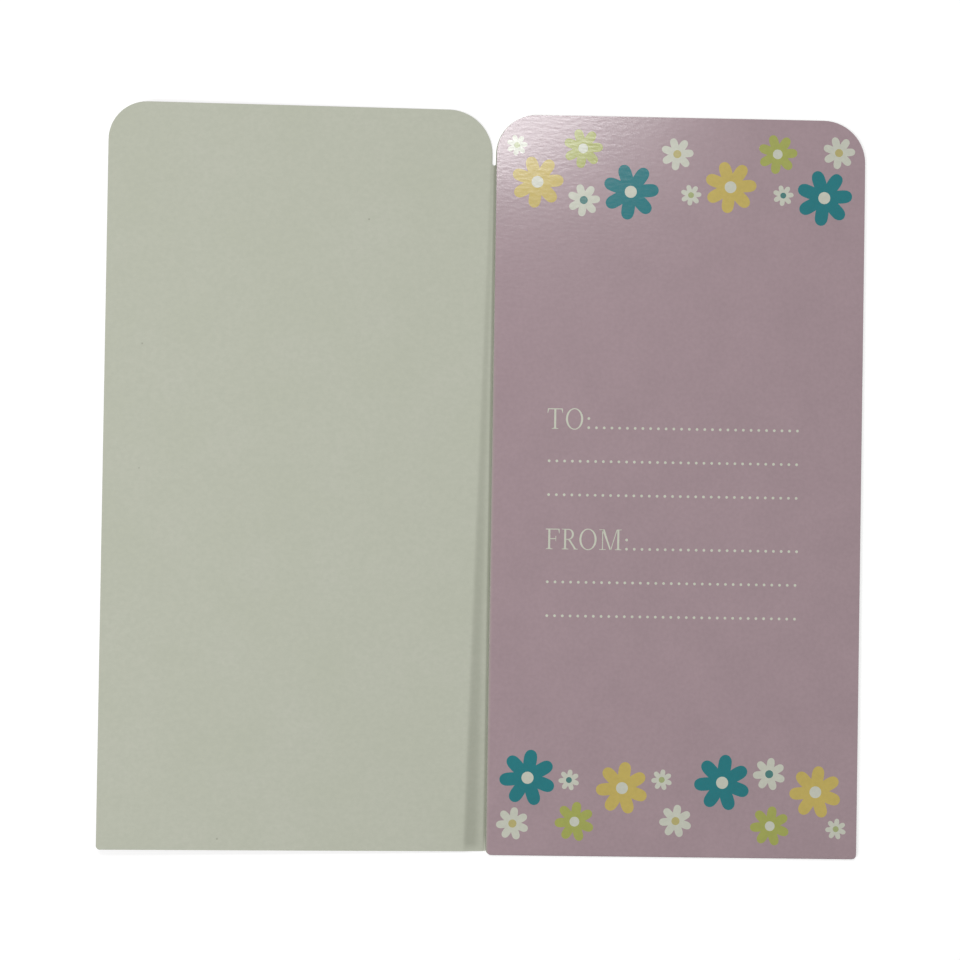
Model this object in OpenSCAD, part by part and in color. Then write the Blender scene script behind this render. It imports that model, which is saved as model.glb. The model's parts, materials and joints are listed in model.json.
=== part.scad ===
// A long card for giving money, lying open with its inside up.
// It is one creased sheet of board with a gloss film on its printed side. The sheet is cover,
// spine and back from left to right, and a flap turned up from the foot of the back makes the
// front of a pocket, which is open at the head and glued along both sides.
// X runs from the cover to the pocket, Y from the foot to the head, and Z up.
// The origin is the middle of the back panel's underside.

/* [Sheet] */
// Thickness of the bare board
board_t = 0.35; // [0.25:0.01:0.5]
// Thickness of the printed layer with its gloss film
film_t = 0.05; // [0.02:0.01:0.1]

/* [Pocket] */
// Width of the pocket's front
pocket_w = 85.2; // [78:0.1:110]
// Height of the pocket's front
pocket_h = 170; // [150:1:210]
// Room for banknotes between the pocket's front and the back panel
pocket_gap = 0.3; // [0.2:0.05:0.6]
// Radius of the pocket's head corner beside the spine
pocket_spine_r = 9; // [4:0.1:12]
// Radius of the pocket's outer head corner
pocket_outer_r = 9.7; // [4:0.1:20]
// Radius of the pocket's foot corner beside the spine
pocket_foot_spine_r = 1.4; // [1:0.1:5]
// Radius of the pocket's outer foot corner
pocket_foot_outer_r = 1.2; // [1:0.1:5]

/* [Cover] */
// Width of the cover and spine together, from the outer edge to the notch
cover_w = 87.5; // [80:0.1:112]
// Height of the cover
cover_h = 170; // [150:1:210]
// How far the cover's foot lies above the pocket's turned-up foot
cover_rise = 0.9; // [0:0.1:2]
// Radius of the cover's outer head corner
cover_outer_r = 8.8; // [4:0.1:20]
// Radius of the cover's head corner beside the notch
cover_notch_r = 10.2; // [4:0.1:12]
// Radius of the cover's outer foot corner
cover_foot_r = 0.9; // [0.5:0.1:5]
// Angle in degrees by which the open cover stands up from the surface
cover_angle = 2; // [0:0.5:6]

/* [Spine] */
// Width of the spine at its foot
spine_foot_w = 4.8; // [3:0.1:8]
// Width that the spine tapers to at the cover's head
spine_head_w = 0.6; // [0.5:0.1:8]
// Angle in degrees by which the open spine stands up from the surface
spine_angle = 8; // [4:0.5:15]
// Width of the die-cut notch between the two head corners
notch_w = 0.8; // [0.6:0.1:2]
// Depth of that notch below the cover's head
notch_depth = 12.6; // [12.5:0.1:30]
// Distance from the spine's crease to the pocket's edge
pocket_setback = 0.3; // [0.2:0.05:0.5]
// Slit left between two panels along a crease
crease_slit = 0.1; // [0.08:0.01:0.14]

/* [Glue] */
// Width of each glue line
glue_w = 3; // [2:0.1:6]
// Distance from the pocket's edge to the glue
glue_inset = 0.5; // [0.3:0.1:2]
// Distance from the pocket's head to the end of the glue
glue_head_gap = 14; // [10:0.5:40]

/* [Hidden] */
$fn = 96;
// Distance by which a cutting shape passes what it cuts
overrun = 2;
bare_board = [0.71, 0.72, 0.66];
print_mauve = [0.62, 0.54, 0.57];
dried_glue = [0.93, 0.93, 0.88];

// The heights of the layers, from the surface that the card lies on
board_top = film_t + board_t;
flap_bottom = board_top + pocket_gap;
flap_top = flap_bottom + board_t;
// The turn at the foot runs round the middle of the pocket's gap
turn_inner_r = pocket_gap / 2;
turn_board_r = turn_inner_r + board_t;
turn_outer_r = turn_board_r + film_t;

pocket_left = -pocket_w / 2;
pocket_foot = -pocket_h / 2;
turn_y = pocket_foot + turn_outer_r;
spine_crease_x = pocket_left - pocket_setback;
notch_left = pocket_left - notch_w;
cover_left = notch_left - cover_w;
cover_foot = pocket_foot + cover_rise;
notch_foot = cover_foot + cover_h - notch_depth;
cover_crease_x = spine_crease_x - spine_foot_w;
skew_angle = atan((spine_foot_w - spine_head_w) / cover_h);
cover_turn_angle = cover_angle - spine_angle;

// What lies outside the arc of a corner at the origin that opens towards +X and +Y
module corner_waste(r) {
    difference() {
        translate([-overrun, -overrun]) square(r + overrun);
        translate([r, r]) circle(r);
    }
}

// A panel with its foot left corner at the origin, and a radius for each of its corners
module panel(w, h, foot_left_r, foot_right_r, head_right_r, head_left_r) {
    difference() {
        square([w, h]);
        if (foot_left_r > 0) corner_waste(foot_left_r);
        if (foot_right_r > 0) translate([w, 0]) mirror([1, 0]) corner_waste(foot_right_r);
        translate([w, h]) rotate(180) corner_waste(head_right_r);
        translate([0, h]) mirror([0, 1]) corner_waste(head_left_r);
    }
}

module pocket_outline() {
    translate([pocket_left, pocket_foot])
        panel(pocket_w, pocket_h, pocket_foot_spine_r, pocket_foot_outer_r, pocket_outer_r, pocket_spine_r);
}

// The pocket's outline, with the strip that reaches out to the spine's crease
module back_outline() {
    pocket_outline();
    translate([spine_crease_x + crease_slit / 2, cover_foot])
        square([pocket_setback - crease_slit / 2 + glue_inset, cover_h - notch_depth]);
}

// Cover and spine in one, laid flat, up to the spine's crease
module cover_and_spine_outline() {
    translate([cover_left, cover_foot])
        panel(cover_w, cover_h, cover_foot_r, 0, cover_notch_r, cover_outer_r);
    translate([notch_left - notch_w, cover_foot])
        square([spine_crease_x - crease_slit / 2 - notch_left + notch_w, cover_h - notch_depth]);
}

// A long slab beside the cover's crease: side is -1 for its cover side and 1 for its spine side
module beside_cover_crease(side) {
    reach = cover_w + overrun;
    inner_x = side > 0 ? crease_slit / 2 : -crease_slit / 2 - reach;
    translate([cover_crease_x, cover_foot]) rotate(-skew_angle)
        translate([inner_x, -reach]) square([reach, cover_h + 2 * reach]);
}

module cover_outline() {
    intersection() {
        cover_and_spine_outline();
        beside_cover_crease(-1);
    }
}

module spine_outline() {
    intersection() {
        cover_and_spine_outline();
        beside_cover_crease(1);
    }
}

// Carries the flat sheet's spine up about the spine's crease, at the bare face of the board
module on_spine() {
    translate([spine_crease_x, 0, board_top]) rotate([0, spine_angle, 0])
        translate([-spine_crease_x, 0, -board_top]) children();
}

// Carries the flat sheet's cover with the spine, and turns it back about the cover's crease
module on_cover() {
    on_spine()
        translate([cover_crease_x, cover_foot, board_top]) rotate([0, 0, -skew_angle])
            rotate([0, cover_turn_angle, 0]) rotate([0, 0, skew_angle])
                translate([-cover_crease_x, -cover_foot, -board_top]) children();
}

// A layer of the sheet from one height to another
module layer(bottom, top) {
    translate([0, 0, bottom]) linear_extrude(top - bottom) children();
}

// Keeps what lies on the head side of the turn
module above_turn() {
    intersection() {
        children();
        translate([pocket_left - overrun, turn_y, -overrun])
            cube([pocket_w + 2 * overrun, pocket_h, 2 * turn_outer_r + 2 * overrun]);
    }
}

// A half-round layer of the turn at the foot, cut at its ends to the pocket's rounded corners
module turn(outer_r, inner_r) {
    intersection() {
        translate([pocket_left, turn_y, turn_outer_r]) rotate([0, 90, 0])
            difference() {
                cylinder(h = pocket_w, r = outer_r);
                translate([0, 0, -overrun]) cylinder(h = pocket_w + 2 * overrun, r = inner_r);
            }
        layer(-overrun, 2 * turn_outer_r + overrun) pocket_outline();
        translate([pocket_left - overrun, pocket_foot - overrun, -overrun])
            cube([pocket_w + 2 * overrun, turn_outer_r + overrun, 2 * turn_outer_r + 2 * overrun]);
    }
}

// A line of glue whose left side is at x
module glue_line(x, foot_r) {
    translate([x, pocket_foot + foot_r, board_top])
        cube([glue_w, pocket_h - foot_r - glue_head_gap, pocket_gap]);
}

module cover_board() {
    color(bare_board) on_cover() layer(film_t, board_top) cover_outline();
}

module cover_film() {
    color(print_mauve) on_cover() layer(0, film_t) cover_outline();
}

module spine_board() {
    color(bare_board) on_spine() layer(film_t, board_top) spine_outline();
}

module spine_film() {
    color(print_mauve) on_spine() layer(0, film_t) spine_outline();
}

module back_board() {
    color(bare_board) above_turn() layer(film_t, board_top) back_outline();
}

module back_film() {
    color(print_mauve) above_turn() layer(0, film_t) back_outline();
}

module fold_board() {
    color(bare_board) turn(turn_board_r, turn_inner_r);
}

module fold_film() {
    color(print_mauve) turn(turn_outer_r, turn_board_r);
}

module pocket_board() {
    color(bare_board) above_turn() layer(flap_bottom, flap_top) pocket_outline();
}

module pocket_film() {
    color(print_mauve) above_turn() layer(flap_top, flap_top + film_t) pocket_outline();
}

module left_glue_line() {
    color(dried_glue) glue_line(pocket_left + glue_inset, pocket_foot_spine_r);
}

module right_glue_line() {
    color(dried_glue) glue_line(-pocket_left - glue_inset - glue_w, pocket_foot_outer_r);
}

cover_board();
cover_film();
spine_board();
spine_film();
back_board();
back_film();
fold_board();
fold_film();
pocket_board();
pocket_film();
left_glue_line();
right_glue_line();
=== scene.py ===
"""A long card for giving money, lying open with its inside up.

The cover and the spine are bare board inside. The pocket has a glossy printed front, with a border
of daisies at its head and its foot and dotted lines to write on. Shapes are worked out in
millimetres: X runs from the cover to the pocket, Y from the foot to the head, and Z up.
"""

import json
import math

import bpy
import numpy as np
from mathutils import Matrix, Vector


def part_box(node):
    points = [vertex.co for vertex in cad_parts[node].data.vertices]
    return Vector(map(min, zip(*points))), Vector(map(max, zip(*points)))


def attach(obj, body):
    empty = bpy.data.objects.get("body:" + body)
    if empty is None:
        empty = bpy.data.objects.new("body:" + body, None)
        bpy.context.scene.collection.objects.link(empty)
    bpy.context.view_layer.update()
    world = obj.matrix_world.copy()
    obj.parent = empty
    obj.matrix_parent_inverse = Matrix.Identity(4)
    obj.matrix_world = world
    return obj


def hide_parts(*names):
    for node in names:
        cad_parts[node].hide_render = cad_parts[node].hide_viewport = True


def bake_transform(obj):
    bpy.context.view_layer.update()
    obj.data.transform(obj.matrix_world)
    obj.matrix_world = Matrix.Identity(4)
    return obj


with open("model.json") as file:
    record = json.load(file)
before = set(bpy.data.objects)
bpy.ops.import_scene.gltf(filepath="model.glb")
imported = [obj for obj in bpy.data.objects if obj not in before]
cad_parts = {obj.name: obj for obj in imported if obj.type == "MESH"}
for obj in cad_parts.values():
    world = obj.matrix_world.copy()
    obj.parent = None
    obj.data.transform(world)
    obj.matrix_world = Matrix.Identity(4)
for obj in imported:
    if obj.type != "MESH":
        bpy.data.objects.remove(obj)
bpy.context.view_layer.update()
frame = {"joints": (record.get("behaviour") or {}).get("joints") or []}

# Metres in a millimetre
MM = 0.001


def box_in_mm(node):
    """A frame node's lowest and highest corners."""
    low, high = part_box(node)
    return np.array(low) / MM, np.array(high) / MM


def crease_in_mm(joint_name):
    """A point on a crease and the crease's direction, as the frame has them at rest."""
    joint = next(joint for joint in frame["joints"] if joint["name"] == joint_name)
    return np.array(joint["pos_m"]) / MM, np.array(joint["axis"], float)


def turned(points, pivot, axis, angles):
    """Points turned about a line, each by its own angle.

    With p from the pivot: p cos a, plus axis cross p times sin a, plus p's part along the axis
    times (1 - cos a).
    """
    arm = points - pivot
    cosine = np.cos(angles)[..., None]
    sine = np.sin(angles)[..., None]
    along = (arm @ axis)[..., None] * axis
    return pivot + arm * cosine + np.cross(axis, arm) * sine + along * (1 - cosine)


# The layers of the sheet, from the frame
FILM_TOP = box_in_mm("back_film")[1][2]
BOARD_TOP = box_in_mm("back_board")[1][2]
POCKET_LOW, POCKET_HIGH = box_in_mm("pocket_film")
POCKET_LEFT = POCKET_LOW[0]
POCKET_RIGHT = POCKET_HIGH[0]
POCKET_HEAD = POCKET_HIGH[1]
POCKET_TOP = POCKET_HIGH[2]
POCKET_FOOT = box_in_mm("fold_film")[0][1]
TURN_START = POCKET_LOW[1]
TURN_RADIUS = POCKET_TOP / 2

# The pocket's corners
POCKET_SPINE_RADIUS = 9.0
POCKET_OUTER_RADIUS = 9.7
POCKET_FOOT_SPINE_RADIUS = 1.4
POCKET_FOOT_OUTER_RADIUS = 1.2

# The cover laid flat, with the spine's die-cut notch beside the pocket
COVER_WIDTH = 87.5
COVER_HEIGHT = 170.0
COVER_OUTER_RADIUS = 8.8
COVER_NOTCH_RADIUS = 10.2
COVER_FOOT_RADIUS = 0.9
NOTCH_WIDTH = 0.8
NOTCH_DEPTH = 12.6
COVER_FOOT = box_in_mm("spine_board")[0][1]
COVER_HEAD = COVER_FOOT + COVER_HEIGHT
NOTCH_FOOT = COVER_HEAD - NOTCH_DEPTH
NOTCH_LEFT = POCKET_LEFT - NOTCH_WIDTH
COVER_LEFT = NOTCH_LEFT - COVER_WIDTH

# The creases: the spine's is flat in the frame, and the cover's is laid flat again about it
SPINE_CREASE, SPINE_DIRECTION = crease_in_mm("spine_crease")
OPEN_CREASE, OPEN_DIRECTION = crease_in_mm("cover_crease")
SPINE_ANGLE = math.atan2(OPEN_CREASE[2] - SPINE_CREASE[2], SPINE_CREASE[0] - OPEN_CREASE[0])
COVER_ANGLE = math.radians(2)
COVER_CREASE = turned(OPEN_CREASE, SPINE_CREASE, SPINE_DIRECTION, np.array(-SPINE_ANGLE))
COVER_DIRECTION = turned(OPEN_DIRECTION, np.zeros(3), SPINE_DIRECTION, np.array(-SPINE_ANGLE))

# Half the width over which the board bends at each crease, and the width of the finer grid there
COVER_BEND = 0.35
COVER_BEND_GRID = 1.3
SPINE_BEND = 0.24
SPINE_BEND_GRID = 0.65
# Depth of the spine's sag between its creases, as a share of its width there
SPINE_SAG_SHARE = 0.017
# The score pressed into the board along the spine crease
SCORE_DEPTH = 0.07
SCORE_HALF_WIDTH = 0.22
# How far the pocket's front stands back from the edge of the panel behind it, at the spine
FLAP_SETBACK = 0.2
# How far the pocket's front dips at its free head corners, and the reach of the dip
CORNER_DIP = 0.25
CORNER_DIP_REACH = 14.0

# Size of the worn corner along the board's and the film's cut edges
BOARD_EDGE = 0.04
FILM_EDGE = 0.015
# Rows of a panel's grid round a corner at its foot, round one at its head, and between them
FOOT_CORNER_ROWS = 7
HEAD_CORNER_ROWS = 15
PANEL_ROWS = 90
POCKET_ROWS = 70
# How far below the notch the spine's rows start to rise round its foot
NOTCH_REACH = 1.5
# How far the ink of the petals stands on the film, and how far the flowers' middles do
INK_HEIGHT = 0.01
MIDDLE_HEIGHT = 0.016


# Places on the sheet


def cover_crease_x(y):
    """Where the flat cover crease lies at height y."""
    return COVER_CREASE[0] + (y - COVER_CREASE[1]) * COVER_DIRECTION[0] / COVER_DIRECTION[1]


def seam_x(y):
    """The line beside the cover crease, through the notch's foot, where cover and spine meet."""
    return cover_crease_x(y) + NOTCH_LEFT - cover_crease_x(NOTCH_FOOT)


def right_of_cover_crease(flat):
    """How far flat points lie to the right of the cover crease, square to it."""
    arm = flat[..., :2] - COVER_CREASE[:2]
    return arm[..., 0] * COVER_DIRECTION[1] - arm[..., 1] * COVER_DIRECTION[0]


def smooth_step(share):
    """3 s squared minus 2 s cubed, with s held between 0 and 1."""
    share = np.clip(share, 0, 1)
    return share * share * (3 - 2 * share)


def left_share(distance, half_width):
    """0 to the right of a crease and 1 to its left, smoothly over the width that bends."""
    return smooth_step((half_width - distance) / (2 * half_width))


def spine_share_across(flat):
    """0 at the spine crease and 1 at the cover crease, in proportion between them."""
    width = SPINE_CREASE[0] - cover_crease_x(flat[..., 1])
    return (SPINE_CREASE[0] - flat[..., 0]) / width, width


def lay_open(flat):
    """Where flat points of the cover and the spine lie at rest.

    The spine first sags by a squared sine of the share across it. Each point then turns about the
    cover crease, and after that about the spine crease, by the crease's angle times its own share.
    """
    across, width = spine_share_across(flat)
    sag = SPINE_SAG_SHARE * width * np.sin(math.pi * np.clip(across, 0, 1)) ** 2
    sunk = flat - sag[..., None] * np.array([0, 0, 1])
    cover_turn = (COVER_ANGLE - SPINE_ANGLE) * left_share(right_of_cover_crease(flat), COVER_BEND)
    spine_turn = SPINE_ANGLE * left_share(flat[..., 0] - SPINE_CREASE[0], SPINE_BEND)
    on_spine = turned(sunk, COVER_CREASE, COVER_DIRECTION, cover_turn)
    return turned(on_spine, SPINE_CREASE, SPINE_DIRECTION, spine_turn)


def stay(flat):
    """The place of points that rest where they are worked out."""
    return flat


def settle(flat):
    """Where points of the pocket lie at rest.

    The front dips towards its two head corners, by a bell curve of the distance from the corner.
    """
    half_width = (POCKET_RIGHT - POCKET_LEFT) / 2
    from_side = half_width - np.abs(flat[..., 0] - POCKET_LEFT - half_width)
    from_head = POCKET_HEAD - flat[..., 1]
    dip = CORNER_DIP * np.exp(-(from_side**2 + from_head**2) / CORNER_DIP_REACH**2)
    on_front = flat[..., 2] > TURN_RADIUS
    return flat - (dip * on_front)[..., None] * np.array([0, 0, 1])


# Meshes


def rim_of(rows, columns):
    """Row and column numbers round a grid's rim, anticlockwise from its first corner."""
    last_row = rows - 1
    last_column = columns - 1
    up = np.arange(last_row)
    across = np.arange(last_column)
    row = [0 * across, up, last_row + 0 * across, last_row - up]
    column = [across, last_column + 0 * up, last_column - across, 0 * up]
    return np.concatenate(row), np.concatenate(column)


def grid_faces(number):
    """The four-sided faces of a grid of point numbers, anticlockwise with rows up the page."""
    corners = [number[:-1, :-1], number[:-1, 1:], number[1:, 1:], number[1:, :-1]]
    return np.stack([corner.ravel() for corner in corners], axis=1)


def wall_faces(above, below):
    """The faces between two closed lines of point numbers that run anticlockwise."""
    return np.stack([below, np.roll(below, -1), np.roll(above, -1), above], axis=1)


def closed_solid(layers):
    """Points and faces of a solid between two like grids.

    The first layer is its upper face and the last its lower one, and each layer between them
    gives a line round the rim.
    """
    rows, columns = layers[0].shape[:2]
    row, column = rim_of(rows, columns)
    upper = np.arange(rows * columns).reshape(rows, columns)
    points = [layers[0].reshape(-1, 3)]
    rims = [upper[row, column]]
    count = rows * columns
    for layer in layers[1:-1]:
        points.append(layer[row, column])
        rims.append(count + np.arange(len(row)))
        count += len(row)
    points.append(layers[-1].reshape(-1, 3))
    lower = count + upper
    rims.append(lower[row, column])
    faces = [grid_faces(upper), grid_faces(lower)[:, ::-1]]
    faces += [wall_faces(above, below) for above, below in zip(rims, rims[1:])]
    return np.concatenate(points), np.concatenate(faces)


def joined(parts):
    """One set of points and faces from several."""
    counts = np.cumsum([0] + [len(points) for points, _ in parts])
    faces = [faces + start for (_, faces), start in zip(parts, counts)]
    return np.concatenate([points for points, _ in parts]), np.concatenate(faces)


def make_piece(name, solid, material, lay=stay):
    """A piece from its flat points and faces, with the flat places kept for its pattern."""
    flat, faces = solid
    mesh = bpy.data.meshes.new(name)
    mesh.from_pydata((lay(flat) * MM).tolist(), [], faces.tolist())
    mesh.validate()
    place = mesh.attributes.new("sheet_place", "FLOAT_VECTOR", "POINT")
    place.data.foreach_set("vector", flat.astype(np.float32).ravel())
    mesh.shade_smooth()
    mesh.set_sharp_from_angle(angle=math.radians(32))
    mesh.materials.append(material)
    piece = bpy.data.objects.new(name, mesh)
    bpy.context.scene.collection.objects.link(piece)
    return piece


# Outlines of the sheet


def corner_draw(into_corner, radius, inset):
    """How far a side draws in at a rounded corner: r minus the root of (r - inset) squared minus
    the square of the distance into the corner."""
    reach = radius - inset
    return radius - np.sqrt(reach**2 - np.clip(into_corner, 0, reach) ** 2)


def side_draw(y, foot, head, foot_radius, head_radius, inset):
    """How far a side draws in at height y, with a rounded corner at its foot and its head."""
    at_foot = corner_draw(foot + foot_radius - y, foot_radius, inset)
    at_head = corner_draw(y - head + head_radius, head_radius, inset)
    return np.maximum(at_foot, at_head)


def row_heights(foot, head, foot_radius, head_radius, straight_rows):
    """Heights of a panel's rows: by equal turns round its corners, and evenly between them."""
    foot_turn = np.linspace(0, math.pi / 2, FOOT_CORNER_ROWS)
    head_turn = np.linspace(0, math.pi / 2, HEAD_CORNER_ROWS)
    at_foot = foot + foot_radius * (1 - np.cos(foot_turn))
    at_head = head - head_radius * (1 - np.sin(head_turn))
    straight = np.linspace(foot + foot_radius, head - head_radius, straight_rows)
    return np.unique(np.round(np.concatenate([at_foot, at_head, straight]), 6))


def column_places(left, right, reach, plain_columns, bend_columns):
    """Places across each row: evenly to within reach of its right side, then evenly over it."""
    share = np.linspace(0, 1, plain_columns, endpoint=False)
    plain = left[:, None] + share * (right - reach - left)[:, None]
    bend = right[:, None] - reach * np.linspace(1, 0, bend_columns)
    return np.concatenate([plain, bend], axis=1)


def layer_points(x, y, z):
    """A grid of points with one height y to a row."""
    grid_y = np.broadcast_to(y[:, None], x.shape)
    return np.stack([x, grid_y, np.full(x.shape, z)], axis=2)


def cover_layer(inset, z):
    """The flat cover's outline at an inset, from its outer edge to the seam beside its crease."""
    rows = row_heights(COVER_FOOT, COVER_HEAD, COVER_FOOT_RADIUS, COVER_NOTCH_RADIUS, PANEL_ROWS)
    rows = np.unique(np.append(rows, NOTCH_FOOT))
    y = COVER_FOOT + inset + (rows - COVER_FOOT) * (1 - 2 * inset / COVER_HEIGHT)
    outer_draw = side_draw(y, COVER_FOOT, COVER_HEAD, COVER_FOOT_RADIUS, COVER_OUTER_RADIUS, inset)
    notch_draw = corner_draw(y - COVER_HEAD + COVER_NOTCH_RADIUS, COVER_NOTCH_RADIUS, inset)
    right = np.where(rows < NOTCH_FOOT, seam_x(y), NOTCH_LEFT - notch_draw)
    x = column_places(COVER_LEFT + outer_draw, right, COVER_BEND_GRID, 40, 19)
    return layer_points(x, y, z)


def spine_layer(inset, z):
    """The flat spine from the seam beside the cover crease to the pocket's edge.

    The notch's foot is a half circle, which the last rows rise to meet, and the bare face dips
    along the score by a bell curve.
    """
    even_rows = np.linspace(COVER_FOOT, NOTCH_FOOT, PANEL_ROWS)
    rows_below_notch = NOTCH_FOOT - np.linspace(0, NOTCH_REACH, 9)
    rows = np.unique(np.concatenate([even_rows, rows_below_notch]))
    y = COVER_FOOT + inset + (rows - COVER_FOOT) * (1 - 2 * inset / (NOTCH_FOOT - COVER_FOOT))
    right = np.full(len(y), POCKET_LEFT)
    layer = layer_points(column_places(seam_x(y), right, SPINE_BEND_GRID, 12, 16), y, z)
    radius = NOTCH_WIDTH / 2
    from_middle = np.clip(layer[..., 0] - NOTCH_LEFT - radius, -radius, radius)
    rise = radius - np.sqrt(radius**2 - from_middle**2)
    layer[..., 1] += rise * smooth_step(1 - (NOTCH_FOOT - rows[:, None]) / NOTCH_REACH)
    if z > FILM_TOP:
        from_score = (layer[..., 0] - SPINE_CREASE[0]) / SCORE_HALF_WIDTH
        layer[..., 2] -= SCORE_DEPTH * np.exp(-(from_score**2))
    return layer


def inset_rows(above_turn, inset):
    """Heights above the turn, drawn in so that the highest comes down by inset."""
    return above_turn * (1 - inset / above_turn.max())


def pocket_layer(inset, depth):
    """The back, the turn at its foot and the pocket's front as one carried profile.

    The profile runs along the outer face from the back's head to the foot, by a half circle round
    the turn, and up the front to its head. Each point lies depth inside that face, along its
    normal, and each row is as wide as the pocket's outline at its height.
    """
    rows = row_heights(
        POCKET_FOOT, POCKET_HEAD, POCKET_FOOT_SPINE_RADIUS, POCKET_OUTER_RADIUS, POCKET_ROWS
    )
    above_turn = rows[rows > TURN_START] - TURN_START
    face_rows = TURN_START + inset_rows(above_turn, inset)
    turn = np.linspace(0, math.pi, 17)
    nought = np.zeros(len(face_rows))
    one = np.ones(len(face_rows))
    face_y = [face_rows[::-1], TURN_START - TURN_RADIUS * np.sin(turn), face_rows]
    face_z = [nought, TURN_RADIUS - TURN_RADIUS * np.cos(turn), POCKET_TOP * one]
    normal_y = [nought, -np.sin(turn), nought]
    normal_z = [-one, -np.cos(turn), one]
    y = np.concatenate(face_y) - np.concatenate(normal_y) * depth
    z = np.concatenate(face_z) - np.concatenate(normal_z) * depth
    on_back = np.arange(len(y)) < len(face_rows)
    joins_spine = on_back & (y > COVER_FOOT) & (y < NOTCH_FOOT)
    left_inset = np.where(joins_spine, 0, inset)
    setback = FLAP_SETBACK * smooth_step(z / POCKET_TOP)
    left = POCKET_LEFT + setback + side_draw(
        y, POCKET_FOOT, POCKET_HEAD, POCKET_FOOT_SPINE_RADIUS, POCKET_SPINE_RADIUS, left_inset
    )
    right = POCKET_RIGHT - side_draw(
        y, POCKET_FOOT, POCKET_HEAD, POCKET_FOOT_OUTER_RADIUS, POCKET_OUTER_RADIUS, inset
    )
    x = left[:, None] + np.linspace(0, 1, 40) * (right - left)[:, None]
    grid_y = np.broadcast_to(y[:, None], x.shape)
    grid_z = np.broadcast_to(z[:, None], x.shape)
    return np.stack([x, grid_y, grid_z], axis=2)


# Petals, dots and letters


PETALS = 7
PETAL_TURN = 2 * math.pi / PETALS
# A petal of a flower with radius 1: its widest place, half its width there, and its fullness
PETAL_WAIST_SHARE = 0.62
PETAL_HALF_WIDTH_SHARE = 0.235
PETAL_FULLNESS = 3
# Direction of the flowers' first petal
FIRST_PETAL = math.radians(107.7)


def half_petal(turn):
    """How far along its petal a point lies, and how far out from the petal's middle.

    With turn f from 0 at the tip, waist c, half width b and fullness n: along is c + (1 - c) times
    |cos f| to the power 2 / n, with the sign of cos f, and out is b sin f.
    """
    bulge = np.sign(np.cos(turn)) * np.abs(np.cos(turn)) ** (2 / PETAL_FULLNESS)
    along = PETAL_WAIST_SHARE + (1 - PETAL_WAIST_SHARE) * bulge
    return along, PETAL_HALF_WIDTH_SHARE * np.sin(turn)


def flower_outline():
    """A closed daisy outline of radius 1.

    Each half petal runs from its tip to where it meets the line halfway to the next petal, which
    is the first of many small turns at which it would pass that line.
    """
    turn = np.linspace(0, 0.9 * math.pi, 400)
    along, out = half_petal(turn)
    meeting = turn[np.argmax(out > along * math.tan(PETAL_TURN / 2))]
    along, out = half_petal(np.linspace(0, meeting, 13))
    petal_along = np.concatenate([along[:0:-1], along[:-1]])
    petal_out = np.concatenate([-out[:0:-1], out[:-1]])
    turns = FIRST_PETAL + PETAL_TURN * np.arange(PETALS)[:, None]
    x = petal_along * np.cos(turns) - petal_out * np.sin(turns)
    y = petal_along * np.sin(turns) + petal_out * np.cos(turns)
    return np.stack([x.ravel(), y.ravel()], axis=1)


def round_outline(sides):
    """A circle of radius 1 as a closed line."""
    turn = np.linspace(0, 2 * math.pi, sides, endpoint=False)
    return np.stack([np.cos(turn), np.sin(turn)], axis=1)


def printed_shapes(outline, middles, radii, bottom, top):
    """Thin closed shapes of ink: each is the outline times its radius about its middle."""
    middles = np.asarray(middles, float)[:, None, :]
    radii = np.asarray(radii, float)[:, None, None]
    line = middles + radii * outline
    shapes, sides = line.shape[:2]
    rim_low = np.concatenate([line, np.full((shapes, sides, 1), bottom)], axis=2)
    rim_high = np.concatenate([line, np.full((shapes, sides, 1), top)], axis=2)
    pole_low = np.concatenate([middles, np.full((shapes, 1, 1), bottom)], axis=2)
    pole_high = np.concatenate([middles, np.full((shapes, 1, 1), top)], axis=2)
    points = np.concatenate([rim_low, rim_high, pole_low, pole_high], axis=1)
    side = np.arange(sides)
    after = np.roll(side, -1)
    low_pole = np.full(sides, 2 * sides)
    high_pole = low_pole + 1
    triangles = [
        [side, after, after + sides],
        [side, after + sides, side + sides],
        [after, side, low_pole],
        [side + sides, after + sides, high_pole],
    ]
    faces = np.concatenate([np.stack(corners, axis=1) for corners in triangles])
    starts = np.arange(shapes)[:, None, None] * (2 * sides + 2)
    return points.reshape(-1, 3), (starts + faces).reshape(-1, 3)


def stroke(left_rail, right_rail):
    """A stroke of ink between two lines of points that run up the page."""
    rails = np.stack([np.asarray(left_rail, float), np.asarray(right_rail, float)], axis=1)
    upper = np.concatenate([rails, np.full((*rails.shape[:2], 1), INK_HEIGHT)], axis=2)
    lower = np.concatenate([rails, np.zeros((*rails.shape[:2], 1))], axis=2)
    return closed_solid([upper, lower])


def upright(low_x, low_y, low_width, high_x, high_y, high_width):
    """A stroke that is cut level at both ends."""
    left = [(low_x - low_width / 2, low_y), (high_x - high_width / 2, high_y)]
    right = [(low_x + low_width / 2, low_y), (high_x + high_width / 2, high_y)]
    return stroke(left, right)


# Sizes of the letters: their height, thick and thin strokes, and the O's half width with how far
# it passes the line
CAP_HEIGHT = 4.7
STEM = 0.46
HAIRLINE = 0.205
O_HALF_WIDTH = 1.98
O_OVERSHOOT = 0.12
# The serif at a stem's foot: its height and reach, and how its bracket spreads and ends
SERIF = 0.15
SERIF_REACH = 1.5
BRACKET_SPREAD = 1.6
BRACKET_TOP = 0.4
# The serif that hangs from an arm: how far it drops, and its width at its tip and its root
HANGING_DROP = 0.85
HANGING_TIP = 0.1
HANGING_ROOT = 0.28


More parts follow.
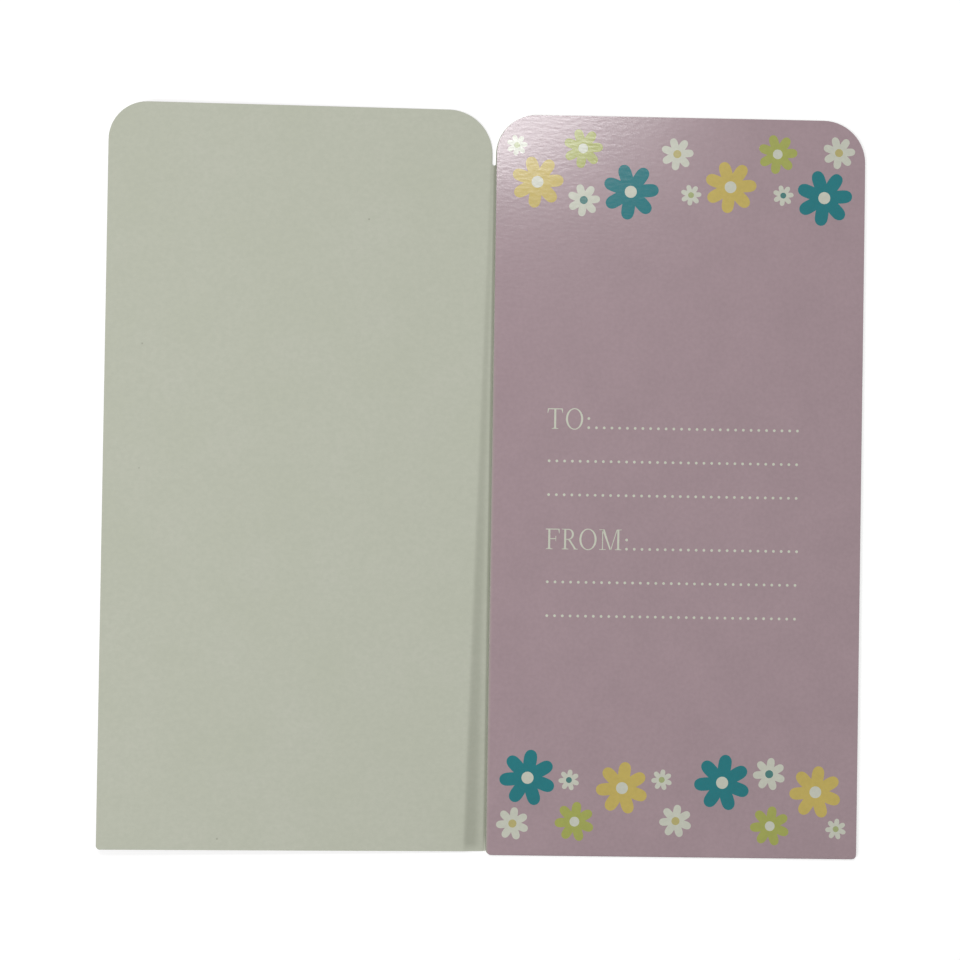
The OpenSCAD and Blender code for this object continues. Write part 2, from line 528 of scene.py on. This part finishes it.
def half_bowl(x, y, width, height, side):
    """Half of an upright ring with thick sides and thin ends: side is 1 for right, -1 for left."""
    turn = np.linspace(-math.pi / 2, math.pi / 2, 15)
    outer = [x + side * width * np.cos(turn), y + height * np.sin(turn)]
    inner = [x + side * (width - STEM) * np.cos(turn), y + (height - HAIRLINE) * np.sin(turn)]
    rails = [np.stack(inner, axis=1), np.stack(outer, axis=1)]
    return stroke(*rails[::side])


def foot_serif(x, width):
    """A level serif on the line, with its bracket."""
    serif = upright(x, 0, SERIF_REACH, x, SERIF, SERIF_REACH)
    bracket = upright(x, SERIF, BRACKET_SPREAD * width, x, BRACKET_TOP, width)
    return [serif, bracket]


def hanging_serif(tip_x, root_x, top):
    """A tapered serif that hangs from an arm whose underside is at top."""
    return upright(tip_x, top - HANGING_DROP, HANGING_TIP, root_x, top, HANGING_ROOT)


def letter_t(x):
    """T with its stem at x."""
    bar = CAP_HEIGHT - HAIRLINE
    arm = 1.72
    parts = foot_serif(x, STEM)
    parts.append(upright(x, BRACKET_TOP, STEM, x, bar, STEM))
    parts.append(upright(x, bar, 2 * arm, x, CAP_HEIGHT, 2 * arm - 0.16))
    for side in (-1, 1):
        parts.append(hanging_serif(x + side * arm, x + side * (arm - 0.14), bar))
    return parts


def letter_o(x):
    """O about x."""
    height = CAP_HEIGHT / 2 + O_OVERSHOOT
    return [half_bowl(x, CAP_HEIGHT / 2, O_HALF_WIDTH, height, side) for side in (-1, 1)]


def letter_f(x):
    """F with its stem at x."""
    bar = CAP_HEIGHT - HAIRLINE
    middle = 2.3
    reach = 2.3
    parts = foot_serif(x, STEM)
    parts.append(upright(x, BRACKET_TOP, STEM, x, bar, STEM))
    parts.append(upright(x + 0.78, bar, reach + 0.9, x + 0.74, CAP_HEIGHT, reach + 0.8))
    parts.append(hanging_serif(x + reach, x + reach - 0.1, bar))
    parts.append(upright(x + 0.85, middle, 1.15, x + 0.85, middle + HAIRLINE, 1.15))
    parts.append(upright(x + 1.5, middle - 0.45, 0.1, x + 1.5, middle + 0.7, 0.18))
    return parts


def letter_r(x):
    """R with its stem at x."""
    bowl = 1.25
    bowl_y = CAP_HEIGHT - bowl
    bowl_foot = bowl_y - bowl
    parts = foot_serif(x, STEM)
    parts.append(upright(x, BRACKET_TOP, STEM, x, CAP_HEIGHT, STEM))
    parts.append(upright(x - 0.5, CAP_HEIGHT - SERIF, 0.5, x - 0.5, CAP_HEIGHT, 0.5))
    for low in (CAP_HEIGHT - HAIRLINE, bowl_foot):
        parts.append(upright(x + 0.5, low, 0.5, x + 0.5, low + HAIRLINE, 0.5))
    parts.append(half_bowl(x + 0.75, bowl_y, bowl, bowl, 1))
    parts.append(upright(x + 2.3, SERIF, STEM, x + 0.95, bowl_foot, STEM))
    parts.append(upright(x + 2.45, 0, 0.95, x + 2.45, SERIF, 0.9))
    return parts


def letter_m(x):
    """M whose left foot starts at x."""
    left = x + 0.7
    right = x + 4.3
    valley = x + 2.5
    parts = foot_serif(left, HAIRLINE) + foot_serif(right, STEM)
    parts.append(upright(left, BRACKET_TOP, HAIRLINE, left, CAP_HEIGHT - SERIF, HAIRLINE))
    parts.append(upright(right, BRACKET_TOP, STEM, right, CAP_HEIGHT, STEM))
    parts.append(upright(valley, 0, 0.3, left + 0.15, CAP_HEIGHT, STEM + 0.1))
    parts.append(upright(valley + 0.1, 0, 0.18, right - 0.28, CAP_HEIGHT, 0.2))
    parts.append(upright(left - 0.45, CAP_HEIGHT - SERIF, 0.6, left - 0.45, CAP_HEIGHT, 0.6))
    parts.append(upright(right + 0.5, CAP_HEIGHT - SERIF, 0.5, right + 0.5, CAP_HEIGHT, 0.5))
    return parts


def moved(solid, down):
    """A letter's part carried down from the panel's head to its line."""
    points, faces = solid
    return points - np.array([0, down, 0]), faces


# The print's layout, each place across from the panel's left edge and down from its head
LINE_LEFT = 13.25
LINE_PITCH = 1.781
LINE_DOTS = 33
LINE_SPACING = 7.75
DOT_RADIUS = 0.32
COLON_RISE = 2.1
# Each label's dotted line, the line that its letters stand on, its colon, and the dots beside it
TO_LINE = 71.7
TO_FOOT = 72.1
TO_COLON = 22.23
TO_DOTS = 28
FROM_LINE = 99.45
FROM_FOOT = 99.7
FROM_COLON = 31.33
FROM_DOTS = 23


def dot_places():
    """The middles of the colons' dots and of the dotted lines' dots."""
    places = []
    blocks = ((TO_LINE, TO_COLON, TO_DOTS), (FROM_LINE, FROM_COLON, FROM_DOTS))
    for first_line, colon, beside in blocks:
        places.append((colon, COLON_RISE - first_line))
        places += [(colon + LINE_PITCH * dot, -first_line) for dot in range(beside)]
        for line in (1, 2):
            down = first_line + LINE_SPACING * line
            places += [(LINE_LEFT + LINE_PITCH * dot, -down) for dot in range(LINE_DOTS)]
    return places


def labels():
    """The two plain labels, TO and FROM, in the card's own thin capitals."""
    to_label = letter_t(14.5) + letter_o(18.95)
    from_label = letter_f(13.55) + letter_r(17.2) + letter_o(22.45) + letter_m(25.1)
    parts = [moved(part, TO_FOOT) for part in to_label]
    parts += [moved(part, FROM_FOOT) for part in from_label]
    return joined(parts)


# The sizes of daisy, by radius
LARGE = 6.45
MEDIUM = 6.0
SMALL = 4.55
LITTLE = 3.75
TINY = 2.4
# The daisies of one border: across, down, radius, petal colour and middle colour
BORDER = (
    (4.8, 7.0, TINY, "white", "green"),
    (9.6, 15.4, MEDIUM, "yellow", "white"),
    (20.0, 7.5, SMALL, "lime", "white"),
    (20.3, 19.4, LITTLE, "white", "teal"),
    (31.1, 17.3, LARGE, "teal", "white"),
    (41.7, 8.4, LITTLE, "white", "gold"),
    (45.0, 17.8, TINY, "white", "green"),
    (54.1, 15.8, MEDIUM, "yellow", "white"),
    (64.9, 8.0, SMALL, "lime", "white"),
    (66.3, 17.5, TINY, "white", "teal"),
    (79.1, 7.4, LITTLE, "white", "gold"),
    (75.8, 17.9, LARGE, "teal", "white"),
)
# The radius of each size of daisy's middle
MIDDLE_RADIUS = {LARGE: 1.39, MEDIUM: 1.36, SMALL: 1.12, LITTLE: 0.93, TINY: 0.68}


def border_shapes(colour, part, panel_width, panel_height):
    """The petals or the middles of one colour in both borders.

    The foot's border is the head's, turned half round about the panel's centre.
    """
    chosen = [row for row in BORDER if row[3 if part == "petals" else 4] == colour]
    middles = np.array([(row[0], -row[1]) for row in chosen])
    radii = np.array([row[2] for row in chosen])
    outline = flower_outline()
    top = INK_HEIGHT
    if part == "middles":
        outline = round_outline(28)
        radii = np.array([MIDDLE_RADIUS[radius] for radius in radii])
        top = MIDDLE_HEIGHT
    turned_middles = np.array([panel_width, -panel_height]) - middles
    head = printed_shapes(outline, middles, radii, 0, top)
    foot = printed_shapes(-outline, turned_middles, radii, 0, top)
    return joined([head, foot])


def on_pocket(points):
    """Print places carried to the pocket's front."""
    return points + np.array([POCKET_LEFT, POCKET_HEAD, POCKET_TOP])


def on_cover_outside(points):
    """Print places carried to the flat cover's underside, read from below with the head up.

    The border keeps clear of the crease, which lies furthest in at the foot.
    """
    right = cover_crease_x(COVER_FOOT) + 1.0
    return points * np.array([-1, 1, -1]) + np.array([right, COVER_HEAD, 0])


def carried(solid, carry):
    """A solid's points carried by a function."""
    points, faces = solid
    return carry(points), faces


# Materials


def paint(red, green, blue):
    """A colour as a screen shows it, 0 to 255, as light: ((c + 0.055) / 1.055) to the 2.4."""
    shown = np.array([red, green, blue]) / 255
    light = ((shown + 0.055) / 1.055) ** 2.4
    return (*light.tolist(), 1.0)


def set_range(node, low, high, to_low, to_high):
    """Sets the range that a Map Range node carries from, and the one that it carries to."""
    numbers = {"From Min": low, "From Max": high, "To Min": to_low, "To Max": to_high}
    for socket, number in numbers.items():
        node.inputs[socket].default_value = number


class Finish:
    """A material with its nodes, built step by step."""

    def __init__(self, name):
        """Starts from a plain shader."""
        self.material = bpy.data.materials.new(name)
        self.material.use_nodes = True
        self.tree = self.material.node_tree
        self.surface = self.tree.nodes["Principled BSDF"]

    def node(self, kind, **settings):
        """A new node with its settings."""
        made = self.tree.nodes.new(kind)
        for name, value in settings.items():
            setattr(made, name, value)
        return made

    def link(self, output, socket):
        """Joins an output to a socket."""
        self.tree.links.new(output, socket)

    def place(self):
        """Places on the flat sheet, in millimetres."""
        return self.node("ShaderNodeAttribute", attribute_name="sheet_place").outputs["Vector"]

    def noise(self, repeats, detail=2.0, roughness=0.5):
        """Noise with so many repeats to a millimetre along X, Y and Z."""
        mapping = self.node("ShaderNodeMapping")
        mapping.inputs["Scale"].default_value = repeats
        self.link(self.place(), mapping.inputs["Vector"])
        noise = self.node("ShaderNodeTexNoise")
        noise.inputs["Scale"].default_value = 1.0
        noise.inputs["Detail"].default_value = detail
        noise.inputs["Roughness"].default_value = roughness
        self.link(mapping.outputs["Vector"], noise.inputs["Vector"])
        return noise.outputs["Fac"]

    def ranged(self, value, low, high, to_low, to_high):
        """A value carried from one range to another, and held there."""
        ranged = self.node("ShaderNodeMapRange", clamp=True)
        self.link(value, ranged.inputs["Value"])
        set_range(ranged, low, high, to_low, to_high)
        return ranged.outputs["Result"]

    def clouds(self, repeats, detail=2.0, roughness=0.5, top=1):
        """Noise whose middle part, from 0.3 to 0.7, is spread from 0 to a top."""
        return self.ranged(self.noise(repeats, detail, roughness), 0.3, 0.7, 0, top)

    def mixed(self, share, first, second, blend="MIX"):
        """Two colours mixed by a share: each is a colour or another node's output."""
        mix = self.node("ShaderNodeMix", data_type="RGBA", blend_type=blend)
        sockets = (mix.inputs[0], mix.inputs[6], mix.inputs[7])
        for value, socket in zip((share, first, second), sockets):
            if isinstance(value, bpy.types.NodeSocket):
                self.link(value, socket)
            else:
                socket.default_value = value
        return mix.outputs[2]

    def bump(self, height, depth, after=None):
        """A bump of so many millimetres."""
        bump = self.node("ShaderNodeBump")
        bump.inputs["Strength"].default_value = 1.0
        bump.inputs["Distance"].default_value = depth * MM
        self.link(height, bump.inputs["Height"])
        if after is not None:
            self.link(after, bump.inputs["Normal"])
        return bump.outputs["Normal"]

    def distance_to(self, x, y):
        """The distance on the sheet from a place."""
        distance = self.node("ShaderNodeVectorMath", operation="DISTANCE")
        flat = self.node("ShaderNodeVectorMath", operation="MULTIPLY")
        self.link(self.place(), flat.inputs[0])
        flat.inputs[1].default_value = (1, 1, 0)
        self.link(flat.outputs["Vector"], distance.inputs[0])
        distance.inputs[1].default_value = (x, y, 0)
        return distance.outputs["Value"]


# The share of a small mark's radius over which it is at its darkest
SPECK_CORE = 0.4
# Small marks on the cover's inside: place, radius and strength
SPECKS = (
    (-71.5, 60.2, 0.3, 0.5),
    (-122.5, 30.7, 0.28, 0.45),
    (-122.7, 2.4, 0.25, 0.4),
    (-103.7, -81.5, 0.3, 0.5),
)


def bare_board():
    """Uncoated white-backed board: grey-green, faintly mottled, with a fine felt grain."""
    finish = Finish("bare_board")
    mottle = finish.clouds((0.06, 0.06, 0.06), 3.0)
    colour = finish.mixed(mottle, paint(183, 186, 170), paint(187, 189, 175))
    felt_marks = finish.clouds((0.9, 1.1, 1.0), top=0.5)
    colour = finish.mixed(felt_marks, colour, paint(175, 178, 163))
    grain = finish.clouds((3.2, 4.4, 3.0), 3.0, 0.6, 0.4)
    colour = finish.mixed(grain, colour, paint(176, 179, 164))
    for x, y, radius, strength in SPECKS:
        share = finish.ranged(finish.distance_to(x, y), SPECK_CORE * radius, radius, strength, 0)
        colour = finish.mixed(share, colour, paint(120, 120, 105))
    # Painted shade along the creases, darkening the board by crease_shading's share
    shade = finish.node("ShaderNodeAttribute", attribute_name="painted_crease_shade")
    colour = finish.mixed(shade.outputs["Fac"], colour, paint(110, 112, 97))
    finish.link(colour, finish.surface.inputs["Base Color"])
    finish.surface.inputs["Roughness"].default_value = 0.85
    finish.surface.inputs["Specular IOR Level"].default_value = 0.25
    felt = finish.bump(finish.noise((3.0, 4.2, 3.0), 3.0, 0.6), 0.012)
    waves = finish.bump(finish.noise((0.25, 0.25, 0.25), 2.0), 0.02, felt)
    finish.link(waves, finish.surface.inputs["Normal"])
    return finish.material


# How strongly the gloss film shines, and how strongly over the two densest inks
FILM_SHINE = 0.58
YELLOW_SHINE = 0.46
TEAL_SHINE = 0.35
# How much darker and lighter the ink is in broad clouds and in fine speckles
CLOUD_CONTRAST = 0.03
SPECKLE_CONTRAST = 0.034
# The pocket's front is paler along its edge at the spine: the strength, how far in it is whole
# and how far in it ends, and the heights between which it fades towards the head
PALE_EDGE_SHARE = 0.35
PALE_EDGE_WHOLE = 0.15
PALE_EDGE_END = 0.6
PALE_EDGE_FULL_HEIGHT = 15
PALE_EDGE_TOP_HEIGHT = 45


def printed_film(name, colour, shine=FILM_SHINE, pale_edge=False):
    """Ink under a gloss film, whose paper grain shows as fine level streaks in its shine."""
    finish = Finish(name)
    plain = np.array(colour[:3])
    darker = (*(plain * (1 - CLOUD_CONTRAST)), 1.0)
    lighter = (*(plain * (1 + CLOUD_CONTRAST)), 1.0)
    tint = finish.mixed(finish.clouds((0.09, 0.09, 0.09), 3.0), darker, lighter)
    dark = (*np.full(3, 1 - SPECKLE_CONTRAST), 1.0)
    light = (*np.full(3, 1 + SPECKLE_CONTRAST), 1.0)
    speckle = finish.mixed(finish.clouds((1.2, 1.2, 1.2)), dark, light)
    tint = finish.mixed(1.0, tint, speckle, "MULTIPLY")
    # The front turns paler along its edge at the spine, most towards the foot
    if pale_edge:
        separate = finish.node("ShaderNodeSeparateXYZ")
        finish.link(finish.place(), separate.inputs["Vector"])
        edge = POCKET_LEFT + FLAP_SETBACK
        inwards = finish.ranged(
            separate.outputs["X"], edge + PALE_EDGE_WHOLE, edge + PALE_EDGE_END, PALE_EDGE_SHARE, 0
        )
        upwards = finish.ranged(separate.outputs["Y"], PALE_EDGE_FULL_HEIGHT, PALE_EDGE_TOP_HEIGHT, 1, 0)
        paler_share = finish.node("ShaderNodeMath", operation="MULTIPLY")
        finish.link(inwards, paler_share.inputs[0])
        finish.link(upwards, paler_share.inputs[1])
        tint = finish.mixed(paler_share.outputs["Value"], tint, paint(165, 158, 148))
    finish.link(tint, finish.surface.inputs["Base Color"])
    finish.surface.inputs["Roughness"].default_value = 0.189
    finish.surface.inputs["Specular IOR Level"].default_value = shine
    streaks = finish.bump(finish.noise((0.5, 1.2, 1.0), 1.0, 0.4), 0.01)
    peel = finish.bump(finish.noise((0.9, 1.9, 1.0), 1.0, 0.4), 0.0055, streaks)
    waves = finish.bump(finish.noise((0.045, 0.045, 0.045), 1.0), 0.05, peel)
    finish.link(waves, finish.surface.inputs["Normal"])
    return finish.material


def dried_glue():
    """Cloudy white adhesive."""
    finish = Finish("dried_glue")
    cloud = finish.clouds((0.8, 0.5, 0.8), 3.0)
    colour = finish.mixed(cloud, paint(226, 224, 212), paint(238, 237, 228))
    finish.link(colour, finish.surface.inputs["Base Color"])
    finish.surface.inputs["Roughness"].default_value = 0.55
    lumps = finish.bump(finish.noise((1.5, 0.7, 1.5)), 0.03)
    finish.link(lumps, finish.surface.inputs["Normal"])
    return finish.material


# The painted shade on the spine at its foot, and how much of it is lost up to its head
SPINE_PAINTED_SHADE = 0.33
SPINE_PAINTED_SHADE_LOSS = 0.23
# It comes in about a line this far right of the cover crease, over this distance to each side
PAINTED_SHADE_START = 0.1
PAINTED_SHADE_START_HALF_WIDTH = 0.75
# Shares across the spine, from the spine crease, at which it is thinnest and at which it is
# whole, and how much it thins; nearer the crease than the first it fades to nothing
PAINTED_SHADE_THINNED = 0.1
PAINTED_SHADE_WHOLE = 0.55
PAINTED_SHADE_THINNING = 0.75
# The painted shadow along the score: its strength, place right of the crease, and half width
SCORE_PAINTED_SHADOW = 0.66
SCORE_PAINTED_SHADOW_PLACE = 0.12
SCORE_PAINTED_SHADOW_HALF_WIDTH = 0.25
# Heights above the foot over which each of the two comes in
SPINE_PAINTED_SHADE_RISE = 2.2
SCORE_PAINTED_SHADOW_RISE = 4.5


def crease_shading(flat):
    """Shade painted at the creases: most beside the cover crease, less towards the spine's.

    It comes in over the bend at the cover crease, thins out towards the spine crease, is weaker
    near the head and fades over the last of the foot, all by smooth steps. A bell curve of painted
    shadow beside the spine crease is added to it.
    """
    across, _ = spine_share_across(flat)
    above_foot = flat[..., 1] - COVER_FOOT
    up = np.clip(above_foot / COVER_HEIGHT, 0, 1)
    beside_cover = left_share(PAINTED_SHADE_START - right_of_cover_crease(flat), PAINTED_SHADE_START_HALF_WIDTH)
    thinned = smooth_step((PAINTED_SHADE_WHOLE - across) / (PAINTED_SHADE_WHOLE - PAINTED_SHADE_THINNED))
    on_spine = beside_cover * (1 - PAINTED_SHADE_THINNING * thinned) * smooth_step(across / PAINTED_SHADE_THINNED)
    on_spine = on_spine * (SPINE_PAINTED_SHADE - SPINE_PAINTED_SHADE_LOSS * up)
    # Painted shadow along the score, beside the pocket's raised edge
    from_score = (flat[..., 0] - SPINE_CREASE[0] - SCORE_PAINTED_SHADOW_PLACE) / SCORE_PAINTED_SHADOW_HALF_WIDTH
    on_score = SCORE_PAINTED_SHADOW * np.exp(-(from_score**2))
    spine_rise = smooth_step(above_foot / SPINE_PAINTED_SHADE_RISE)
    score_rise = smooth_step(above_foot / SCORE_PAINTED_SHADOW_RISE)
    return on_spine * spine_rise + on_score * score_rise


# The sheet


def shade_creases(piece):
    """Keeps the shade painted at the creases with a piece of bare board."""
    places = piece.data.attributes["sheet_place"]
    flat = np.zeros(len(places.data) * 3, np.float32)
    places.data.foreach_get("vector", flat)
    painted_shade = crease_shading(flat.reshape(-1, 3).astype(float))
    shade = piece.data.attributes.new("painted_crease_shade", "FLOAT", "POINT")
    shade.data.foreach_set("value", painted_shade.astype(np.float32))


def board_layers(layer):
    """A panel's board: its bare face with a worn edge, down to the film."""
    below_edge = BOARD_TOP - BOARD_EDGE
    return closed_solid([layer(BOARD_EDGE, BOARD_TOP), layer(0, below_edge), layer(0, FILM_TOP)])


def film_layers(layer):
    """A panel's film: the face against the board, and the gloss face with a worn edge."""
    return closed_solid([layer(0, FILM_TOP), layer(0, FILM_EDGE), layer(FILM_EDGE, 0)])


def bend_at_cover_crease(piece):
    """Bakes the piece's transform into its points."""
    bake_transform(piece)


def bend_at_spine_crease(piece):
    """Bakes the piece's transform into its points."""
    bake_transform(piece)


def make_sheet(board, film, pocket_film):
    """The creased sheet: cover, spine, and back with the pocket, each of board and of film."""
    cover_solid = board_layers(cover_layer)
    cover_board = make_piece("cover_panel_board", cover_solid, board, lay_open)
    cover_film = make_piece("cover_panel_film", film_layers(cover_layer), film, lay_open)
    spine_solid = board_layers(spine_layer)
    spine_board = make_piece("spine_strip_board", spine_solid, board, lay_open)
    spine_film = make_piece("spine_strip_film", film_layers(spine_layer), film, lay_open)
    pocket_solid = closed_solid(
        [
            pocket_layer(0, FILM_TOP),
            pocket_layer(0, BOARD_TOP - BOARD_EDGE),
            pocket_layer(BOARD_EDGE, BOARD_TOP),
        ]
    )
    pocket_board = make_piece("pocket_and_back_board", pocket_solid, board, settle)
    gloss_solid = closed_solid(
        [pocket_layer(FILM_EDGE, 0), pocket_layer(0, FILM_EDGE), pocket_layer(0, FILM_TOP)]
    )
    pocket_gloss = make_piece("pocket_and_back_film", gloss_solid, pocket_film, settle)
    for piece, node in ((cover_board, "cover_board"), (cover_film, "cover_film")):
        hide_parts(node)
        bend_at_cover_crease(piece)
    for piece, node in ((spine_board, "spine_board"), (spine_film, "spine_film")):
        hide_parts(node)
        bend_at_spine_crease(piece)
    for piece, layer in ((pocket_board, "board"), (pocket_gloss, "film")):
        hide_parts("back_" + layer, "fold_" + layer, "pocket_" + layer)
        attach(piece, "back")
    # Shade painted along the creases of each piece of bare board
    for piece in (cover_board, spine_board, pocket_board):
        shade_creases(piece)


# How far a bead of glue keeps inside its frame node's sides, and the length of its round ends
BEAD_INSET = 0.4
BEAD_END = 2.5
# How wide its waist is between the two boards, as a share of its width against them
BEAD_WAIST = 0.94


def glue_bead(node):
    """A flattened bead of glue in a frame node's place.

    Its middle wanders by the sum of a long and a short sine, its half width is narrowed by a
    squared sine, and at each end it narrows by the root of a smooth step to a blunt tip.
    """
    low, high = box_in_mm(node)
    y = np.linspace(low[1], high[1], 160)
    wander = 0.125 * np.sin(0.19 * y) + 0.06 * np.sin(0.53 * y + 1.3)
    half = (high[0] - low[0]) / 2 - BEAD_INSET - 0.15 * np.sin(0.31 * y + 0.7) ** 2
    end = np.minimum(y - low[1], high[1] - y)
    half = half * np.sqrt(smooth_step(end / BEAD_END) + 0.02)
    middle = (low[0] + high[0]) / 2 + wander
    layers = []
    for share, z in ((1, high[2]), (BEAD_WAIST, (low[2] + high[2]) / 2), (1, low[2])):
        x = middle[:, None] + share * half[:, None] * np.linspace(-1, 1, 5)
        layers.append(layer_points(x, y, z))
    return closed_solid(layers)


def make_glue(glue):
    """The beads that close the pocket's sides."""
    for side in ("left", "right"):
        node = side + "_glue_line"
        bead = make_piece(side + "_glue_bead", glue_bead(node), glue)
        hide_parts(node)
        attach(bead, "back")


# The colour and the shine of each ink
PETAL_INKS = {
    "white": (paint(186, 188, 174), FILM_SHINE),
    "yellow": (paint(182, 162, 82), YELLOW_SHINE),
    "lime": (paint(149, 154, 69), FILM_SHINE),
    "teal": (paint(8, 110, 117), TEAL_SHINE),
}
MIDDLE_INKS = {
    "white": (paint(186, 188, 174), FILM_SHINE),
    "gold": (paint(169, 159, 99), FILM_SHINE),
    "green": (paint(148, 158, 105), FILM_SHINE),
    "teal": (paint(50, 110, 106), FILM_SHINE),
}


def make_daisies(place, carry, lay, body, panel_width, panel_height):
    """The two daisy borders of one panel, with a piece for each colour of ink."""
    for part, inks in (("petals", PETAL_INKS), ("middles", MIDDLE_INKS)):
        for name, (colour, shine) in inks.items():
            ink = name + "_ink_" + part
            material = bpy.data.materials.get(ink) or printed_film(ink, colour, shine)
            solid = carried(border_shapes(name, part, panel_width, panel_height), carry)
            piece = make_piece("_".join((place, "daisy", part, name)), solid, material, lay)
            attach(piece, body)


def make_writing_lines():
    """The dotted lines and the labels on the pocket's front."""
    ink = printed_film("label_ink", paint(190, 193, 177))
    places = dot_places()
    radii = np.full(len(places), DOT_RADIUS)
    dots = printed_shapes(round_outline(12), places, radii, 0, INK_HEIGHT)
    for name, solid in (("pocket_writing_dots", dots), ("pocket_label_letters", labels())):
        piece = make_piece(name, carried(solid, on_pocket), ink, settle)
        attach(piece, "back")


# Camera, light and floor


def place_camera():
    """The photograph's view: down from 40 cm, over the cover near the spine, and a little askew."""
    data = bpy.data.cameras.new("camera")
    data.sensor_width = 36
    data.lens = 65.28
    camera = bpy.data.objects.new("camera", data)
    camera.location = np.array([-52.89, -3.17, 400]) * MM
    camera.rotation_euler = np.radians([0.565, -1.122, 0.896])
    bpy.context.scene.collection.objects.link(camera)
    bpy.context.scene.camera = camera


def add_lamp(name, place, width, depth, power, aim):
    """A soft oblong lamp at a place, turned to its aim."""
    data = bpy.data.lights.new(name, "AREA")
    data.shape = "RECTANGLE"
    data.size = width * MM
    data.size_y = depth * MM
    data.energy = power
    lamp = bpy.data.objects.new(name, data)
    lamp.location = np.array(place) * MM
    away = Vector(place) - Vector(aim)
    lamp.rotation_euler = away.to_track_quat("Z", "Y").to_euler()
    bpy.context.scene.collection.objects.link(lamp)


def seen_directly(tree):
    """1 for camera, glossy and transmission rays, and 0 for the rest."""
    path = tree.nodes.new("ShaderNodeLightPath")
    share = path.outputs["Is Camera Ray"]
    for ray in ("Is Glossy Ray", "Is Transmission Ray"):
        larger = tree.nodes.new("ShaderNodeMath")
        larger.operation = "MAXIMUM"
        tree.links.new(share, larger.inputs[0])
        tree.links.new(path.outputs[ray], larger.inputs[1])
        share = larger.outputs["Value"]
    return share


def light_world(strength):
    """Even light all round, and white where it is seen directly."""
    world = bpy.data.worlds.new("studio")
    world.use_nodes = True
    tree = world.node_tree
    background = tree.nodes["Background"]
    background.inputs["Color"].default_value = (1, 1, 1, 1)
    ranged = tree.nodes.new("ShaderNodeMapRange")
    ranged.inputs["To Min"].default_value = strength
    ranged.inputs["To Max"].default_value = 1.0
    tree.links.new(seen_directly(tree), ranged.inputs["Value"])
    tree.links.new(ranged.outputs["Result"], background.inputs["Strength"])
    bpy.context.scene.world = world


# Half the floor's width, and how far it lies below the card
FLOOR_REACH = 3000
FLOOR_GAP = 0.03
# The floor's greyness where it isn't seen directly, and where it is, with a glow added
FLOOR_GREY = 0.75
SEEN_FLOOR_GREY = 0.5
# Metres from the card between which the glow grows, and its strength at both
GLOW_NEAR = 0.25
GLOW_FAR = 1.0
NEAR_GLOW = 0.58
FAR_GLOW = 1.0


def make_floor():
    """A pale floor just under the card, white where it is seen directly but for soft shadows.

    Its glow makes up for the lamps' light where that grows weak, by the distance from the card.
    """
    corners = np.array([(-1, -1), (1, -1), (1, 1), (-1, 1)]) * FLOOR_REACH
    corners = np.append(corners, np.full((4, 1), -FLOOR_GAP), axis=1)
    mesh = bpy.data.meshes.new("floor")
    mesh.from_pydata((corners * MM).tolist(), [], [(0, 1, 2, 3)])
    floor = bpy.data.objects.new("floor", mesh)
    bpy.context.scene.collection.objects.link(floor)
    material = bpy.data.materials.new("floor")
    material.use_nodes = True
    tree = material.node_tree
    tree.nodes.remove(tree.nodes["Principled BSDF"])
    plain = tree.nodes.new("ShaderNodeBsdfDiffuse")
    plain.inputs["Color"].default_value = (FLOOR_GREY, FLOOR_GREY, FLOOR_GREY, 1)
    shadowed = tree.nodes.new("ShaderNodeBsdfDiffuse")
    shadowed.inputs["Color"].default_value = (SEEN_FLOOR_GREY, SEEN_FLOOR_GREY, SEEN_FLOOR_GREY, 1)
    glow = tree.nodes.new("ShaderNodeEmission")
    place = tree.nodes.new("ShaderNodeTexCoord")
    distance = tree.nodes.new("ShaderNodeVectorMath")
    distance.operation = "LENGTH"
    tree.links.new(place.outputs["Object"], distance.inputs[0])
    further = tree.nodes.new("ShaderNodeMapRange")
    set_range(further, GLOW_NEAR, GLOW_FAR, NEAR_GLOW, FAR_GLOW)
    tree.links.new(distance.outputs["Value"], further.inputs["Value"])
    tree.links.new(further.outputs["Result"], glow.inputs["Strength"])
    seen = tree.nodes.new("ShaderNodeAddShader")
    tree.links.new(shadowed.outputs[0], seen.inputs[0])
    tree.links.new(glow.outputs[0], seen.inputs[1])
    chosen = tree.nodes.new("ShaderNodeMixShader")
    tree.links.new(seen_directly(tree), chosen.inputs[0])
    tree.links.new(plain.outputs[0], chosen.inputs[1])
    tree.links.new(seen.outputs[0], chosen.inputs[2])
    tree.links.new(chosen.outputs[0], tree.nodes["Material Output"].inputs["Surface"])
    mesh.materials.append(material)


def light_card():
    """Even light, a broad lamp on the left and a small one over the head that the film mirrors."""
    bpy.context.scene.view_settings.view_transform = "Standard"
    light_world(strength=0.295)
    add_lamp("side_lamp", (-460, -195, 700), width=300, depth=300, power=3.3, aim=(-40, 0, 0))
    add_lamp("head_lamp", (-65, 261, 600), width=230, depth=103, power=1.46, aim=(-40, 60, 0))
    make_floor()


place_camera()
light_card()
white_board = bare_board()
mauve = paint(152, 130, 136)
plain_film = printed_film("mauve_film", mauve)
pocket_film = printed_film("mauve_pocket_film", mauve, pale_edge=True)
make_sheet(white_board, plain_film, pocket_film)
make_glue(dried_glue())
border_width = POCKET_RIGHT - POCKET_LEFT
make_daisies("pocket", on_pocket, settle, "back", border_width, POCKET_HEAD - POCKET_FOOT)
make_daisies("cover", on_cover_outside, lay_open, "cover", border_width, COVER_HEIGHT)
make_writing_lines()
